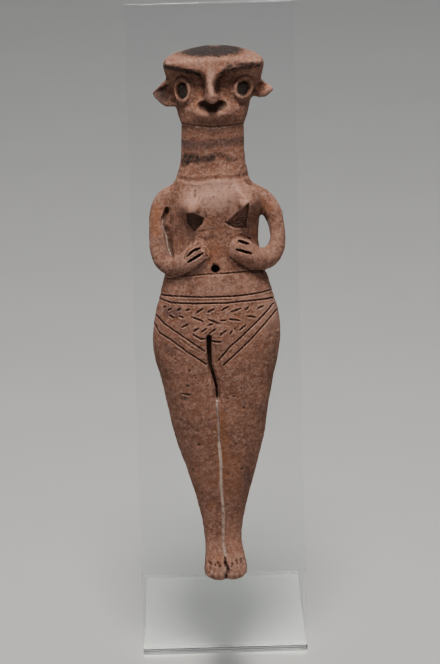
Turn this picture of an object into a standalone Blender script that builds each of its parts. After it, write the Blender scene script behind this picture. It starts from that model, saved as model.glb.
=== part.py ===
"""An ancient clay female figurine leaning on its clear bent-sheet display stand.

Metres, +Z up, +X to the viewer's right, +Y away from the viewer. The origin is the middle of
the flat underside of the stand's foot. The figurine is one fired clay solid; the stand is one
clear sheet, bent once: a plate that leans back and a foot that runs back under it.
"""
import math

import bmesh
import bpy
from mathutils import Matrix, Vector
from mathutils.bvhtree import BVHTree

MM = 0.001

# The clear stand
SHEET_THICKNESS = 3.0 * MM
PLATE_WIDTH = 60.0 * MM
PLATE_HEIGHT = 240.0 * MM
PLATE_LEAN = math.radians(12.0)
FOOT_DEPTH = 67.5 * MM
BEND_INSIDE_RADIUS = 2.0 * MM
BEND_STEPS = 10
EDGE_BEVEL = 0.35 * MM
EDGE_BEVEL_STEPS = 2

# The figurine, and where it sits on the plate
FIGURE_HEIGHT = 190.0 * MM
TOES_ABOVE_FOOT = 35.4 * MM
CONTACT_GAP = 0.3 * MM

# The figurine's forms are given in units of a 190th of its height, about a millimetre each:
# x to the viewer's right, f forward of its back, z above its toes.
UNIT = FIGURE_HEIGHT / 190.0

BLEND_VOXEL = 0.7 * UNIT
BLEND_PASSES = 7
FINE_VOXEL = 0.36 * UNIT
FINE_PASSES = 3
FIGURE_TRIANGLES = 9000

# Cross-sections from the toes to the neck: z, middle x, half width, front, back, squareness.
BODY_SECTIONS = (
    (0.4, 0.9, 4.6, 24.6, 18.6, 2.2),
    (2.6, 0.7, 7.7, 26.0, 15.4, 2.3),
    (7.0, 0.6, 7.4, 24.6, 11.6, 2.3),
    (11.0, 0.3, 6.9, 21.8, 9.4, 2.2),
    (16.0, 0.0, 6.8, 20.2, 8.2, 2.1),
    (27.0, 0.1, 8.8, 20.8, 6.6, 2.1),
    (39.0, 0.1, 12.4, 22.8, 5.0, 2.1),
    (51.0, -0.2, 15.8, 24.6, 4.0, 2.2),
    (63.0, -0.5, 18.1, 25.8, 2.6, 2.2),
    (74.0, -0.5, 20.3, 26.6, 1.0, 2.2),
    (80.0, -0.6, 22.0, 26.8, 0.3, 2.2),
    (86.0, -0.4, 22.8, 27.0, 0.0, 2.2),
    (93.0, -0.1, 22.3, 26.2, 0.6, 2.3),
    (101.0, 0.0, 20.7, 24.8, 2.6, 2.4),
    (107.0, -0.2, 18.9, 23.4, 4.4, 2.4),
    (112.0, -0.2, 17.2, 22.4, 5.2, 2.4),
    (120.0, -0.1, 15.5, 21.6, 5.2, 2.4),
    (131.0, 0.0, 15.6, 22.0, 3.6, 2.5),
    (137.0, -0.2, 14.9, 22.0, 2.6, 2.5),
    (141.0, -0.5, 14.0, 20.2, 2.6, 2.4),
    (145.0, -0.3, 12.6, 19.4, 3.2, 2.2),
    (149.0, -0.1, 11.6, 18.8, 3.8, 2.1),
    (154.0, 0.0, 11.2, 18.6, 4.0, 2.0),
    (165.0, 0.2, 11.2, 19.0, 3.8, 2.0),
)

# The same for the head, chin to crown.
HEAD_SECTIONS = (
    (161.8, 0.2, 10.8, 18.8, 4.0, 2.0),
    (163.6, 0.2, 11.5, 20.8, 3.4, 2.0),
    (165.4, 0.3, 12.1, 22.2, 2.8, 2.0),
    (167.4, 0.3, 12.6, 22.0, 2.2, 2.0),
    (170.6, 0.3, 13.5, 20.4, 1.4, 2.0),
    (174.6, 0.4, 14.9, 19.4, 0.8, 2.1),
    (178.6, 0.8, 16.6, 19.0, 0.4, 2.3),
    (181.6, 0.9, 17.4, 20.0, 0.3, 2.6),
    (183.2, 0.9, 17.9, 22.6, 0.2, 3.0),
    (185.0, 0.9, 17.5, 23.0, 0.3, 3.0),
    (186.6, 0.8, 15.7, 21.6, 1.0, 2.6),
    (188.0, 1.0, 12.6, 18.8, 2.4, 2.4),
    (189.2, 1.3, 8.4, 15.8, 4.6, 2.2),
    (190.0, 1.6, 4.6, 13.2, 7.0, 2.0),
)

# The forehead runs down into the nose as one form, from the nostrils up to the brow.
NOSE_AND_BROW_SECTIONS = (
    (170.2, 0.3, 1.6, 25.2, 12.0, 2.0),
    (170.9, 0.3, 2.6, 26.4, 12.0, 2.2),
    (172.4, -0.2, 2.2, 26.8, 12.0, 2.0),
    (174.6, -0.4, 1.7, 25.6, 12.0, 2.0),
    (176.8, -0.5, 1.9, 24.6, 12.0, 2.2),
    (178.8, -0.1, 2.6, 23.9, 12.0, 2.4),
    (180.4, 0.4, 4.2, 23.5, 12.0, 2.6),
    (181.6, 0.9, 7.6, 23.3, 12.0, 2.8),
    (182.4, 0.9, 12.6, 23.2, 12.0, 3.0),
    (183.4, 0.9, 16.8, 23.1, 12.0, 3.0),
    (185.0, 0.9, 16.6, 22.9, 12.0, 3.0),
)

RING_STEP = 1.0
RING_POINTS = 72

# The shallow valley between the legs, and the deeper one between the buttocks.
LEG_VALLEY = {"low": 0.0, "high": 86.0, "fade": 8.0, "middle": -0.9, "width": 4.0, "depth": 1.5}
BUTTOCK_VALLEY = {"low": 66.0, "high": 96.0, "fade": 10.0, "middle": 0.0, "width": 4.2, "depth": 2.4}

# Arms as x, f, z and radius, shoulder to palm; a minus x is the figurine's right arm.
LEFT_ARM = (
    (9.0, 11.0, 138.4, 4.2),
    (15.8, 11.0, 137.0, 4.1),
    (20.4, 11.6, 132.0, 3.4),
    (22.2, 12.8, 125.6, 2.8),
    (22.2, 14.8, 118.8, 3.1),
    (18.2, 18.0, 114.6, 3.9),
    (13.8, 20.6, 115.8, 4.0),
    (9.8, 21.8, 118.0, 3.7),
)
RIGHT_ARM = (
    (-9.0, 11.0, 138.4, 4.3),
    (-16.2, 11.0, 137.6, 4.3),
    (-19.5, 11.6, 132.0, 3.9),
    (-20.0, 12.8, 125.6, 3.5),
    (-20.2, 14.8, 118.0, 3.6),
    (-16.8, 18.0, 113.0, 3.9),
    (-12.0, 20.8, 113.2, 3.9),
    (-8.0, 22.0, 116.0, 3.6),
)

# Squashed balls of clay: name, centre (x, f, z), radii, turn about x, y and z in degrees.
CLAY_BALLS = (
    ("left_hand", (9.2, 22.2, 118.8), (5.2, 2.6, 4.6), (0, 17, 0)),
    ("right_hand", (-7.6, 22.4, 117.0), (5.2, 2.6, 4.2), (0, -28, 0)),
    ("web_behind_right_arm", (-16.4, 11.0, 122.0), (3.2, 3.2, 10.0), (0, 0, 0)),
    ("left_ear", (17.4, 10.4, 174.4), (5.4, 2.0, 3.6), (-30, 25, -14)),
    ("right_ear", (-15.6, 10.4, 173.4), (5.4, 2.0, 5.0), (-30, -20, 14)),
)

# Breasts are pinched cones: base centre (x, f, z), base radius, length, droop in degrees.
BREASTS = (
    ((-8.0, 17.0, 134.2), 6.4, 9.8, 5.0),
    ((10.9, 17.0, 135.4), 6.6, 10.2, 4.0),
)
BREAST_TIP = 0.22

# Eyes are a clay ring pressed round a pellet: x, how far below the brow, the ring's half
# height, its width as a share of that, its turn in degrees.
BROW_Z = 183.0
EYES = (
    (-9.9, 8.0, 3.6, 0.74, 10.0),
    (11.0, 8.0, 3.4, 0.82, -30.0),
)
EYE_RING_WIRE = 1.0
EYE_RING_LIFT = 0.45
PELLET_SHARE = 0.62
PELLET_DROP = 0.6
PELLET_DEPTH = 1.3

# Incised work: width and depth of each cut, and where it runs on the front, as x and z.
WAIST_SEAM_Z = 110.1
BELT_HEIGHTS = (102.3, 100.2)
CHIN_SEAM_Z = 162.0
NECK_SEAM_Z = 143.4
LINE_WIDTH = 0.42
LINE_DEPTH = 0.5
SEAM_DEPTH = 0.25
HIP_LINES = (
    ((-21.2, 94.8), (-19.1, 93.0), (-14.5, 90.0), (-10.2, 87.1), (-4.9, 83.4)),
    ((-22.0, 91.8), (-20.5, 89.1), (-16.7, 87.5), (-11.5, 83.5), (-4.4, 78.7)),
    ((19.7, 98.4), (16.8, 95.6), (9.3, 89.0), (4.2, 84.8), (-0.1, 79.8)),
    ((20.6, 95.8), (16.7, 92.1), (10.5, 86.0), (5.7, 81.8), (1.7, 78.2)),
)
LEG_SLIT = ((-3.2, 88.0), (-3.2, 84.4), (-2.9, 78.0), (-2.0, 74.5), (-1.0, 70.0), (-0.9, 66.0))
LEG_SLIT_WIDTH = 0.75
LEG_SLIT_DEPTH = 2.4
LEG_LINE = ((-0.9, 65.6), (-0.7, 55.0), (-0.2, 42.0), (-0.2, 34.0), (0.3, 25.0), (0.1, 13.0), (0.7, 8.2))
LEG_LINE_DEPTH = 0.7
FEET_SPLIT = ((0.4, 6.4), (1.5, 4.1), (0.8, 0.3))
FINGER_SLITS = (
    ((-10.2, 116.7), (-8.0, 118.8), (-5.4, 119.6)),
    ((-9.9, 114.7), (-7.3, 116.3), (-4.6, 117.7)),
    ((8.0, 121.8), (11.6, 120.5)),
    ((7.2, 118.7), (12.5, 117.1)),
)
FINGER_DEPTH = 0.9
MOUTH = ((-3.4, 168.4), (-0.2, 167.9), (3.0, 168.3))
MOUTH_WIDTH = 1.05
MOUTH_DEPTH = 1.5
ARM_CREASE = ((-16.9, 132.5), (-17.8, 128.5), (-16.8, 123.4), (-15.6, 116.8))
CREASE_DEPTH = 1.0
TOE_X = (-4.9, -1.8, 3.0, 4.7, 6.3)
TOE_CUT_LOW = 3.6
TOE_CUT_HIGH = 6.8

# The navel is a round vent into the clay, with a pointed top.
NAVEL_X = -0.3
NAVEL_Z = 111.7
NAVEL_RADIUS = 1.8
NAVEL_POINT = 2.4
NAVEL_DEPTH = 9.0

CLAY_COLOUR = (0.43, 0.26, 0.19, 1.0)
CLAY_ROUGHNESS = 0.85
SHEET_COLOUR = (0.93, 0.96, 0.95, 0.3)
SHEET_ROUGHNESS = 0.06


def clear_scene():
    for item in list(bpy.data.objects):
        bpy.data.objects.remove(item, do_unlink=True)


def plain_material(name, colour, roughness):
    made = bpy.data.materials.new(name)
    made.use_nodes = True
    shader = made.node_tree.nodes["Principled BSDF"]
    shader.inputs["Base Color"].default_value = colour
    shader.inputs["Roughness"].default_value = roughness
    shader.inputs["Metallic"].default_value = 0.0
    shader.inputs["Alpha"].default_value = colour[3]
    made.diffuse_color = colour
    return made


def new_object(name, data):
    made = bpy.data.objects.new(name, data)
    bpy.context.scene.collection.objects.link(made)
    return made


def place(x, forward, z):
    """A point of the figurine in its own frame: its back is at y 0 and its front at minus y."""
    return Vector((x * UNIT, -forward * UNIT, z * UNIT))


def between(rows, z):
    """The row at height z, on a smooth curve through the given rows, whose first column is height."""
    last = len(rows) - 1
    z = min(max(z, rows[0][0]), rows[last][0])
    i = next(n for n in range(last) if z <= rows[n + 1][0])
    low, high = rows[i], rows[i + 1]
    before, after = rows[max(i - 1, 0)], rows[min(i + 2, last)]
    span = high[0] - low[0]
    t = (z - low[0]) / span
    found = []
    for k in range(1, len(low)):
        start_slope = (high[k] - before[k]) / (high[0] - before[0]) * span
        end_slope = (after[k] - low[k]) / (after[0] - low[0]) * span
        found.append(
            (2 * t**3 - 3 * t**2 + 1) * low[k]
            + (t**3 - 2 * t**2 + t) * start_slope
            + (3 * t**2 - 2 * t**3) * high[k]
            + (t**3 - t**2) * end_slope
        )
    return found


def valley(kind, x, z):
    """How far a valley along the middle of the legs sinks the surface at x and z."""
    into = min(z - kind["low"], kind["high"] - z) / kind["fade"] + 0.5
    share = min(max(into, 0.0), 1.0)
    return kind["depth"] * share * math.exp(-(((x - kind["middle"]) / kind["width"]) ** 2))


def section(middle_x, half, front, back, squareness):
    """Points round one cross-section, as x, forward, and whether they face forward."""
    middle, reach = (front + back) / 2, (front - back) / 2
    points = []
    for n in range(RING_POINTS):
        angle = 2 * math.pi * n / RING_POINTS
        c, s = math.cos(angle), math.sin(angle)
        x = middle_x + half * math.copysign(abs(c) ** (2 / squareness), c)
        forward = middle + reach * math.copysign(abs(s) ** (2 / squareness), s)
        points.append((x, forward, s > 0))
    return points


def loft(name, rows, legs=False):
    """A closed skin over cross-sections that change from one height to the next."""
    low, high = rows[0][0], rows[-1][0]
    count = math.ceil((high - low) / RING_STEP)
    mesh = bmesh.new()
    rings = []
    for n in range(count + 1):
        z = low + (high - low) * n / count
        ring = []
        for x, forward, on_front in section(*between(rows, z)):
            if legs and on_front:
                forward -= valley(LEG_VALLEY, x, z)
            elif legs:
                forward += valley(LEG_VALLEY, x, z) + valley(BUTTOCK_VALLEY, x, z)
            ring.append(mesh.verts.new(place(x, forward, z)))
        rings.append(ring)
    for below, above in zip(rings, rings[1:]):
        for n in range(RING_POINTS):
            m = (n + 1) % RING_POINTS
            mesh.faces.new((below[n], below[m], above[m], above[n]))
    mesh.faces.new(rings[0])
    mesh.faces.new(rings[-1])
    bmesh.ops.recalc_face_normals(mesh, faces=mesh.faces)
    data = bpy.data.meshes.new(name)
    mesh.to_mesh(data)
    mesh.free()
    return new_object(name, data)


def roll(name, points):
    """A roll of clay through x, forward, z points, each with its own radius."""
    curve = bpy.data.curves.new(name, "CURVE")
    curve.dimensions = "3D"
    curve.bevel_depth = UNIT
    curve.bevel_resolution = 6
    curve.use_fill_caps = True
    spline = curve.splines.new("NURBS")
    spline.points.add(len(points) - 1)
    spline.use_endpoint_u = True
    spline.order_u = 3
    spline.resolution_u = 6
    for point, (x, forward, z, radius) in zip(spline.points, points):
        point.co = (*place(x, forward, z), 1.0)
        point.radius = radius
    return new_object(name, curve)


def ball(name, centre, radii, turn):
    bpy.ops.mesh.primitive_uv_sphere_add(segments=40, ring_count=24, radius=1.0)
    made = bpy.context.object
    made.name = name
    made.scale = [r * UNIT for r in radii]
    made.rotation_euler = [math.radians(a) for a in turn]
    made.location = place(*centre)
    return made


def breast(base, radius, length, droop):
    """A pinched cone that stands forward from the chest and droops a little."""
    droop = math.radians(droop)
    x, forward, z = base
    bpy.ops.mesh.primitive_cone_add(
        vertices=40, radius1=radius * UNIT, radius2=radius * BREAST_TIP * UNIT, depth=length * UNIT
    )
    made = bpy.context.object
    made.rotation_euler = (math.radians(90) + droop, 0, 0)
    half = length / 2
    made.location = place(x, forward + half * math.cos(droop), z - half * math.sin(droop))
    return made


def as_mesh(item):
    """The object's finished shape as a mesh in world space."""
    bpy.context.view_layer.update()
    graph = bpy.context.evaluated_depsgraph_get()
    data = bpy.data.meshes.new_from_object(item.evaluated_get(graph), depsgraph=graph)
    data.transform(item.matrix_world)
    return data


def joined(name, items):
    """One object that holds the shapes of all the items, which are removed."""
    mesh = bmesh.new()
    for item in items:
        data = as_mesh(item)
        if item.type == "CURVE":
            welded = bmesh.new()
            welded.from_mesh(data)
            bmesh.ops.remove_doubles(welded, verts=welded.verts, dist=UNIT * 0.001)
            welded.to_mesh(data)
            welded.free()
        mesh.from_mesh(data)
        bpy.data.meshes.remove(data)
        bpy.data.objects.remove(item, do_unlink=True)
    data = bpy.data.meshes.new(name)
    mesh.to_mesh(data)
    mesh.free()
    return new_object(name, data)


def blended(item, voxel, passes):
    """The overlapping shapes of one object made one skin, with its joins smoothed over."""
    remesh = item.modifiers.new("one skin", "REMESH")
    remesh.mode = "VOXEL"
    remesh.voxel_size = voxel
    smooth = item.modifiers.new("smoothed joins", "SMOOTH")
    smooth.factor = 0.5
    smooth.iterations = passes
    name, data = item.name, as_mesh(item)
    bpy.data.objects.remove(item, do_unlink=True)
    return new_object(name, data)


def skin_tree(item):
    data = item.data
    return BVHTree.FromPolygons([v.co for v in data.vertices], [p.vertices for p in data.polygons])


def front_of(tree, x, z):
    """The point and normal of the front surface at x and z."""
    start = place(x, 80.0, z)
    point, normal, _, _ = tree.ray_cast(start, Vector((0, 1, 0)))
    return point, normal


def eye(tree, x, below_brow, half_height, slimness, turn):
    """A clay ring and the pellet that sits low inside it, turned to face out of the cheek."""
    point, normal = front_of(tree, x, BROW_Z - below_brow)
    facing = normal.to_track_quat("Z", "Y").to_matrix().to_4x4()
    seat = Matrix.Translation(point) @ facing @ Matrix.Rotation(math.radians(turn), 4, "Z")
    bpy.ops.mesh.primitive_torus_add(
        major_segments=48,
        minor_segments=12,
        major_radius=half_height * UNIT,
        minor_radius=EYE_RING_WIRE * UNIT,
    )
    ring = bpy.context.object
    lift = Matrix.Translation((0, 0, EYE_RING_LIFT * UNIT))
    ring.matrix_world = seat @ lift @ Matrix.Diagonal((slimness, 1, 1, 1))
    bpy.ops.mesh.primitive_uv_sphere_add(segments=32, ring_count=16, radius=1.0)
    pellet = bpy.context.object
    tall = half_height * PELLET_SHARE * UNIT
    size = Matrix.Diagonal((tall * slimness, tall, PELLET_DEPTH * UNIT, 1))
    pellet.matrix_world = seat @ Matrix.Translation((0, -PELLET_DROP * UNIT, 0)) @ size
    return [ring, pellet]


def distance_to_line(x, z, points):
    """How far a point is from a broken line, both on the front view."""
    nearest = math.inf
    for (ax, az), (bx, bz) in zip(points, points[1:]):
        dx, dz = bx - ax, bz - az
        t = ((x - ax) * dx + (z - az) * dz) / (dx * dx + dz * dz)
        t = min(max(t, 0.0), 1.0)
        nearest = min(nearest, math.hypot(x - ax - t * dx, z - az - t * dz))
    return nearest


def groove(distance, width, depth):
    """Depth of a round-bottomed cut at a distance from its middle, nothing past two widths."""
    return depth * max(0.0, 1.0 - (distance / (2 * width)) ** 2) ** 2


def front_cuts():
    """Each cut that is made on the front only: its line, width, depth and the box it reaches."""
    cuts = [(line, LINE_WIDTH, LINE_DEPTH) for line in HIP_LINES]
    cuts += [(line, LINE_WIDTH, FINGER_DEPTH) for line in FINGER_SLITS]
    cuts += [(((x, TOE_CUT_LOW), (x, TOE_CUT_HIGH)), LINE_WIDTH, LINE_DEPTH) for x in TOE_X]
    cuts.append((LEG_SLIT, LEG_SLIT_WIDTH, LEG_SLIT_DEPTH))
    cuts.append((LEG_LINE, LINE_WIDTH, LEG_LINE_DEPTH))
    cuts.append((FEET_SPLIT, LINE_WIDTH, LEG_SLIT_DEPTH))
    cuts.append((MOUTH, MOUTH_WIDTH, MOUTH_DEPTH))
    cuts.append((ARM_CREASE, LINE_WIDTH, CREASE_DEPTH))
    boxed = []
    for line, width, depth in cuts:
        xs, zs = [p[0] for p in line], [p[1] for p in line]
        box = (min(xs) - 2 * width, max(xs) + 2 * width, min(zs) - 2 * width, max(zs) + 2 * width)
        boxed.append((line, width, depth, box))
    return boxed


def ring_cuts():
    """Each cut that runs all round the figurine: its height and depth."""
    cuts = [(z, LINE_DEPTH) for z in BELT_HEIGHTS]
    return cuts + [(z, SEAM_DEPTH) for z in (WAIST_SEAM_Z, CHIN_SEAM_Z, NECK_SEAM_Z)]


def cut_depth(x, z, facing, fronts, rings):
    """How deep the incised work is at a point of the skin, in units."""
    depth = max(groove(abs(z - height), LINE_WIDTH, deep) for height, deep in rings)
    if facing > 0:
        for line, width, deep, (left, right, low, high) in fronts:
            if left < x < right and low < z < high:
                depth = max(depth, groove(distance_to_line(x, z, line), width, deep))
    return depth


def incised(item):
    """Presses the incised lines into the skin, through a weight for each vertex."""
    group = item.vertex_groups.new(name="incised")
    fronts, rings = front_cuts(), ring_cuts()
    for vertex in item.data.vertices:
        x, _, z = vertex.co / UNIT
        depth = cut_depth(x, z, -vertex.normal.y, fronts, rings)
        if depth > 0:
            group.add([vertex.index], depth / LEG_SLIT_DEPTH, "REPLACE")
    press = item.modifiers.new("incised lines", "DISPLACE")
    press.direction = "NORMAL"
    press.mid_level = 0.0
    press.strength = -LEG_SLIT_DEPTH * UNIT
    press.vertex_group = group.name
    return item


def settled(item):
    """Moves the shape so that its back and its toes are both at nought."""
    back = max(vertex.co.y for vertex in item.data.vertices)
    toes = min(vertex.co.z for vertex in item.data.vertices)
    item.data.transform(Matrix.Translation((0, -back, -toes)))
    return item


def navel_cutter(tree):
    """A blind hole that narrows inwards, its mouth drawn up to a point like a drop."""
    point, _ = front_of(tree, NAVEL_X, NAVEL_Z)
    bpy.ops.mesh.primitive_cone_add(
        vertices=16,
        radius1=NAVEL_RADIUS * 0.7 * UNIT,
        radius2=NAVEL_RADIUS * UNIT,
        depth=2 * NAVEL_DEPTH * UNIT,
    )
    made = bpy.context.object
    made.rotation_euler = (math.radians(90), 0, 0)
    made.location = point
    made.hide_render = True
    made.display_type = "WIRE"
    for vertex in made.data.vertices:
        if vertex.co.y > 0.95 * NAVEL_RADIUS * UNIT:
            vertex.co.y = NAVEL_POINT * UNIT
    return made


def make_figurine(parts, clay):
    """Limbs and features pressed on to a lofted body, blended, then incised."""
    body = loft("figurine_body", BODY_SECTIONS, legs=True)
    head = loft("figurine_head", HEAD_SECTIONS)
    rolls = [roll("left_arm", LEFT_ARM), roll("right_arm", RIGHT_ARM)]
    balls = [ball(*row) for row in CLAY_BALLS]
    cones = [breast(*row) for row in BREASTS]
    rough = blended(joined("rough_figurine", [body, head, *rolls, *balls, *cones]), BLEND_VOXEL, BLEND_PASSES)
    tree = skin_tree(rough)
    face = [loft("nose_and_brow", NOSE_AND_BROW_SECTIONS)]
    for row in EYES:
        face += eye(tree, *row)
    fine = settled(blended(joined("fine_figurine", [rough, *face]), FINE_VOXEL, FINE_PASSES))
    cutter = navel_cutter(skin_tree(fine))
    incised(fine)
    cut = fine.modifiers.new("navel", "BOOLEAN")
    cut.operation = "DIFFERENCE"
    cut.object = cutter
    faces = sum(len(p.vertices) - 2 for p in fine.data.polygons)
    fewer = fine.modifiers.new("fewer faces", "DECIMATE")
    fewer.ratio = FIGURE_TRIANGLES / faces
    data = as_mesh(fine)
    for item in (fine, cutter):
        bpy.data.objects.remove(item, do_unlink=True)
    data.materials.clear()
    data.materials.append(clay)
    data.shade_smooth()
    made = bpy.data.objects.new("female_figurine", data)
    parts.objects.link(made)
    return made


def bend_radius():
    return BEND_INSIDE_RADIUS + SHEET_THICKNESS


def bend_centre_y():
    """How far behind the plate's front line the middle of the bend is."""
    return bend_radius() * (1 + math.sin(PLATE_LEAN)) / math.cos(PLATE_LEAN)


def front_line_y():
    """Where the plate's front face would meet the floor, so that the origin is mid-foot."""
    return -(FOOT_DEPTH + bend_centre_y()) / 2


def stand_outline():
    """The sheet's outer skin seen from the side: along the foot, round the bend, up the plate."""
    radius, middle = bend_radius(), bend_centre_y()
    outline = [(FOOT_DEPTH, 0.0)]
    first, last = -math.pi / 2, -math.pi - PLATE_LEAN
    for n in range(BEND_STEPS + 1):
        angle = first + (last - first) * n / BEND_STEPS
        outline.append((middle + radius * math.cos(angle), radius + radius * math.sin(angle)))
    outline.append((PLATE_HEIGHT * math.sin(PLATE_LEAN), PLATE_HEIGHT * math.cos(PLATE_LEAN)))
    return [(y + front_line_y(), z) for y, z in outline]


def make_stand(parts, clear):
    """One bent sheet: its outer skin, thickened inwards, with softened edges."""
    mesh = bmesh.new()
    sides = []
    for x in (PLATE_WIDTH / 2, -PLATE_WIDTH / 2):
        sides.append([mesh.verts.new((x, y, z)) for y, z in stand_outline()])
    for n in range(len(sides[0]) - 1):
        mesh.faces.new((sides[0][n], sides[0][n + 1], sides[1][n + 1], sides[1][n]))
    data = bpy.data.meshes.new("clear_stand")
    mesh.to_mesh(data)
    mesh.free()
    data.materials.append(clear)
    made = bpy.data.objects.new("clear_stand", data)
    parts.objects.link(made)
    thick = made.modifiers.new("sheet thickness", "SOLIDIFY")
    thick.thickness = SHEET_THICKNESS
    thick.offset = -1.0
    thick.use_even_offset = True
    edges = made.modifiers.new("softened edges", "BEVEL")
    edges.width = EDGE_BEVEL
    edges.segments = EDGE_BEVEL_STEPS
    edges.limit_method = "ANGLE"
    edges.angle_limit = math.radians(40)


def main():
    clear_scene()
    parts = bpy.data.collections.new("female_figurine_on_stand")
    bpy.context.scene.collection.children.link(parts)
    make_stand(parts, plain_material("clear_sheet", SHEET_COLOUR, SHEET_ROUGHNESS))
    figurine = make_figurine(parts, plain_material("fired_clay", CLAY_COLOUR, CLAY_ROUGHNESS))
    plate_front = bpy.data.objects.new("plate_front", None)
    plate_front.location = (0, front_line_y(), 0)
    plate_front.rotation_euler = (-PLATE_LEAN, 0, 0)
    parts.objects.link(plate_front)
    figurine.parent = plate_front
    figurine.location = (0, -CONTACT_GAP, TOES_ABOVE_FOOT)


main()
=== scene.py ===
import math
import random

import bpy
import numpy as np
from mathutils import Matrix, Vector


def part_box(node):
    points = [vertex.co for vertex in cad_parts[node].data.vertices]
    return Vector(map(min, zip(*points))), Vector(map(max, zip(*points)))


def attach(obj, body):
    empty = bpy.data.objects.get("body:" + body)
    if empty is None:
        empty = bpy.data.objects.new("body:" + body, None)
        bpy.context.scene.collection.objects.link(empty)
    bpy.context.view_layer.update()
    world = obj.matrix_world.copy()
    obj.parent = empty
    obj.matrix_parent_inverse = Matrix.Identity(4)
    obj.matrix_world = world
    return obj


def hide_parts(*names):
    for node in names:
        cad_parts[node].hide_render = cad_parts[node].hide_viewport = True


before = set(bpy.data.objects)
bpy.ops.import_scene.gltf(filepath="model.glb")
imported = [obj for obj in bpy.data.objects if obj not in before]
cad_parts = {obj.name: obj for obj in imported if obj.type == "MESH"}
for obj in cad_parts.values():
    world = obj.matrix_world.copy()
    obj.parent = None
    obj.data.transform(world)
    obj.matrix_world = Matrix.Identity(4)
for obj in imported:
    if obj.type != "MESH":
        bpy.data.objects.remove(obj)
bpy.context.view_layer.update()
bpy.ops.object.select_all(action="DESELECT")


# The stand is one strip of clear cast acrylic, 60 mm wide, with polished edges. It is softened
# over a hot wire and bent once: the foot lies flat and runs back, and the plate leans back over
# it. The heat swells the sheet's edges a little where it bends.
MM = 0.001
SHEET_THICKNESS = 3.0 * MM
SHEET_WIDTH = 60.0 * MM
PLATE_HEIGHT = 240.0 * MM
PLATE_LEAN = math.radians(12.0)
FOOT_DEPTH = 67.5 * MM
BEND_RADIUS = 5.0 * MM
BEND_STEPS = 24
BEND_SWELL = 0.35 * MM
EDGE_ROUNDING = 0.3 * MM
EDGE_ROUNDING_STEPS = 3
SHARP_ANGLE = math.radians(40)
ON_THE_LINE = 0.001 * MM

foot_back_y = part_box("clear_stand")[1].y
front_line_y = foot_back_y - FOOT_DEPTH
bend_reach = BEND_RADIUS * (1 + math.sin(PLATE_LEAN)) / math.cos(PLATE_LEAN)
bend_middle_y = front_line_y + bend_reach


def pick(*items):
    """Selects just these items, and makes the last one active."""
    bpy.ops.object.select_all(action="DESELECT")
    for item in items:
        item.select_set(True)
    bpy.context.view_layer.objects.active = items[-1]


def finished(item, kind, **settings):
    """Adds one modifier with these settings and applies it."""
    modifier = item.modifiers.new(kind.lower(), kind)
    for name, value in settings.items():
        setattr(modifier, name, value)
    pick(item)
    bpy.ops.object.modifier_apply(modifier=modifier.name)


bend_angle = math.pi / 2 + PLATE_LEAN
bend_run = bend_angle * (BEND_RADIUS - SHEET_THICKNESS / 2)
plate_run = PLATE_HEIGHT - bend_reach
strip_length = foot_back_y - bend_middle_y + bend_run + plate_run
bpy.ops.mesh.primitive_cube_add(
    size=1, location=(0, foot_back_y - strip_length / 2, SHEET_THICKNESS / 2)
)
stand = bpy.context.object
stand.name = "bent_clear_stand"
stand.scale = (SHEET_WIDTH, strip_length, SHEET_THICKNESS)
bpy.ops.object.transform_apply(location=True, rotation=True, scale=True)
bpy.ops.object.mode_set(mode="EDIT")
for step in range(BEND_STEPS + 1):
    bpy.ops.mesh.select_all(action="SELECT")
    bend_line_y = bend_middle_y - bend_run * step / BEND_STEPS
    bpy.ops.mesh.bisect(plane_co=(0, bend_line_y, 0), plane_no=(0, 1, 0))
bpy.ops.object.mode_set(mode="OBJECT")
for vertex in stand.data.vertices:
    past = bend_middle_y - vertex.co.y
    if past > -ON_THE_LINE:
        radius = BEND_RADIUS - vertex.co.z
        share = min(past / bend_run, 1.0)
        angle = bend_angle * share
        beyond = max(0.0, past - bend_run)
        vertex.co.y = bend_middle_y - radius * math.sin(angle) - beyond * math.cos(angle)
        vertex.co.z = BEND_RADIUS - radius * math.cos(angle) + beyond * math.sin(angle)
        vertex.co.x += math.copysign(BEND_SWELL * math.sin(math.pi * share), vertex.co.x)
finished(
    stand,
    "BEVEL",
    width=EDGE_ROUNDING,
    segments=EDGE_ROUNDING_STEPS,
    limit_method="ANGLE",
    angle_limit=SHARP_ANGLE,
)
bpy.ops.object.shade_smooth_by_angle(angle=SHARP_ANGLE)
finished(stand, "WEIGHTED_NORMAL", mode="FACE_AREA", weight=100, keep_sharp=True)


def shader_tree(material):
    """The material's nodes, its links and its shader."""
    material.use_nodes = True
    tree = material.node_tree
    return tree.nodes, tree.links, tree.nodes["Principled BSDF"]


clear = bpy.data.materials.new("clear_acrylic")
nodes, links, shader = shader_tree(clear)
shader.inputs["Base Color"].default_value = (0.99, 1.0, 0.995, 1.0)
shader.inputs["IOR"].default_value = 1.49
shader.inputs["Transmission Weight"].default_value = 1.0
place = nodes.new("ShaderNodeTexCoord")
haze = nodes.new("ShaderNodeTexNoise")
haze.inputs["Scale"].default_value = 60.0
haze.inputs["Detail"].default_value = 6.0
links.new(place.outputs["Object"], haze.inputs["Vector"])
wiped = nodes.new("ShaderNodeMapRange")
wiped.inputs["From Min"].default_value = 0.45
wiped.inputs["From Max"].default_value = 0.8
wiped.inputs["To Min"].default_value = 0.0
wiped.inputs["To Max"].default_value = 0.025
links.new(haze.outputs["Fac"], wiped.inputs["Value"])
links.new(wiped.outputs["Result"], shader.inputs["Roughness"])
lamp_ray = nodes.new("ShaderNodeLightPath")
let_through = nodes.new("ShaderNodeBsdfTransparent")
let_through.inputs["Color"].default_value = (0.93, 0.95, 0.94, 1.0)
either = nodes.new("ShaderNodeMixShader")
links.new(lamp_ray.outputs["Is Shadow Ray"], either.inputs["Fac"])
links.new(shader.outputs["BSDF"], either.inputs[1])
links.new(let_through.outputs["BSDF"], either.inputs[2])
links.new(either.outputs["Shader"], nodes["Material Output"].inputs["Surface"])
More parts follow.
